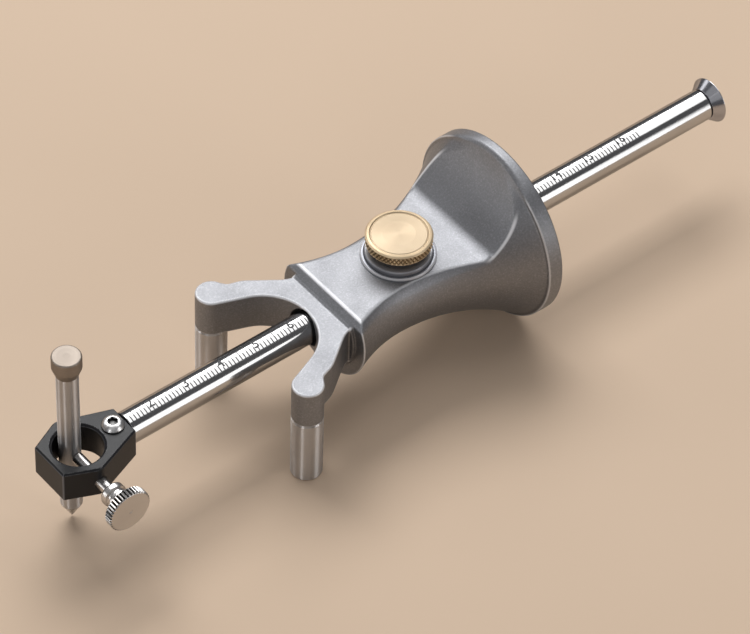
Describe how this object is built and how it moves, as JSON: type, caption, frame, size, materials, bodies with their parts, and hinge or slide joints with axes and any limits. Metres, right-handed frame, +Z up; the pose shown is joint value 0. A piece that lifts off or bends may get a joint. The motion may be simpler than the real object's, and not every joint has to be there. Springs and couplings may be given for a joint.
{
  "type": "carpenter scribe",
  "caption": "Marking gauge with a bell-shaped fence and forked guide pins sliding on a graduated rod that carries a clamped scriber at one end and a round cutter at the other.",
  "frame": {"origin": "on the bench under the middle of the overall length, in the vertical plane of the rod axis", "axes": "+X along the rod from the scribing head to the cutter, +Y to the left seen from the head end, +Z up"},
  "size_m": [0.1978, 0.0474, 0.0537],
  "materials": {
    "body_aluminium": "bead-blasted, clear anodised, satin",
    "polished_steel": "polished stainless steel",
    "dark_steel": "turned, darkened, semi-gloss",
    "brass": "turned and polished",
    "black_anodised": "black anodised, satin",
    "hard_point": "ground carbide"
  },
  "bodies": {
    "fence": {"gauge_body": "body_aluminium", "guide_pin_left": "polished_steel", "guide_pin_right": "polished_steel", "lock_bush": "dark_steel"},
    "rod": {"graduated_rod": "polished_steel", "scribing_head": "black_anodised", "head_screw": "polished_steel", "cutter_wheel": "polished_steel", "cutter_screw": "dark_steel"},
    "pad": {"clamp_pad": "brass"},
    "knob": {"lock_knob": "brass", "lock_stud": "brass"},
    "thumb": {"thumb_screw": "polished_steel"},
    "scriber": {"scriber_shaft": "polished_steel", "scriber_cap": "polished_steel", "scriber_point": "hard_point"}
  },
  "joints": [
    {"name": "rod_slide", "type": "slide", "parent": "fence", "child": "rod", "axis": [1, 0, 0], "range_m": [-0.067, 0.04]},
    {"name": "pad_lift", "type": "slide", "parent": "fence", "child": "pad", "axis": [0, 0, 1], "range_m": [0, 0.00151]},
    {"name": "knob_turn", "type": "hinge", "parent": "pad", "child": "knob", "pos_m": [0.0012, 0, 0.035], "axis": [0, 0, 1], "range_deg": [0, 540]},
    {"name": "thumb_turn", "type": "hinge", "parent": "rod", "child": "thumb", "pos_m": [-0.0908, -0.012, 0.0224], "axis": [0, -1, 0], "range_deg": [0, 720]},
    {"name": "scriber_slide", "type": "slide", "parent": "rod", "child": "scriber", "axis": [0, 0, 1], "range_m": [-0.02, 0.015]}
  ],
  "couplings": [
    {"joint": "pad_lift", "follows": "knob_turn", "m_per_rad": 0.00015915}
  ]
}
